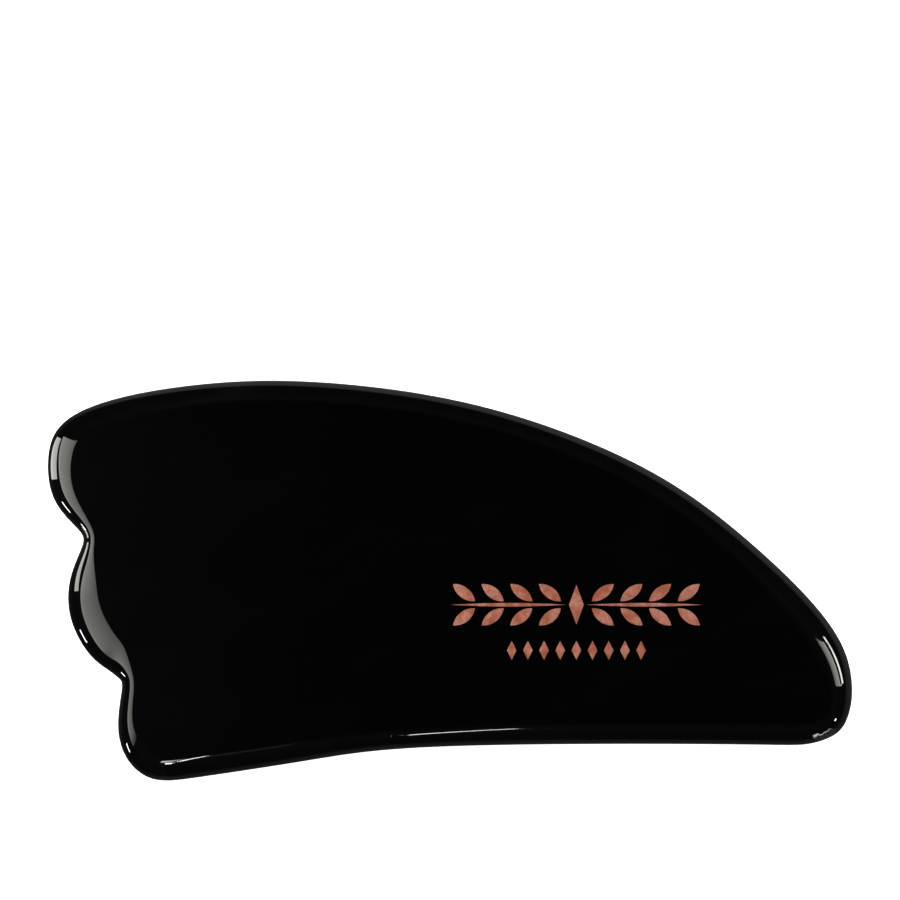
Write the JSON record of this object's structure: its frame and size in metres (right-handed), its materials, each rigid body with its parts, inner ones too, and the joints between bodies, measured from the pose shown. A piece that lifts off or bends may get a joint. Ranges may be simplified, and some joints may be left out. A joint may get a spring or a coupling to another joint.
{
  "type": "gua sha scraper",
  "caption": "Wing-shaped gua sha massage blade of polished black stone with a rounded edge, a scalloped end and a copper-filled engraved ornament.",
  "frame": {"origin": "centre of the bounding box seen from above, on the plane of the lower face", "axes": "+X towards the pointed tip, +Y towards the bowed back, +Z out of the engraved upper face"},
  "size_m": [0.11, 0.0546, 0.006],
  "materials": {
    "black_stone": "mirror polish",
    "copper_fill": "satin copper"
  },
  "bodies": {
    "root": {"stone_blade": "black_stone", "mark_stem": "copper_fill", "mark_leaves": "copper_fill", "mark_bud": "copper_fill", "mark_dots": "copper_fill"}
  },
  "joints": []
}
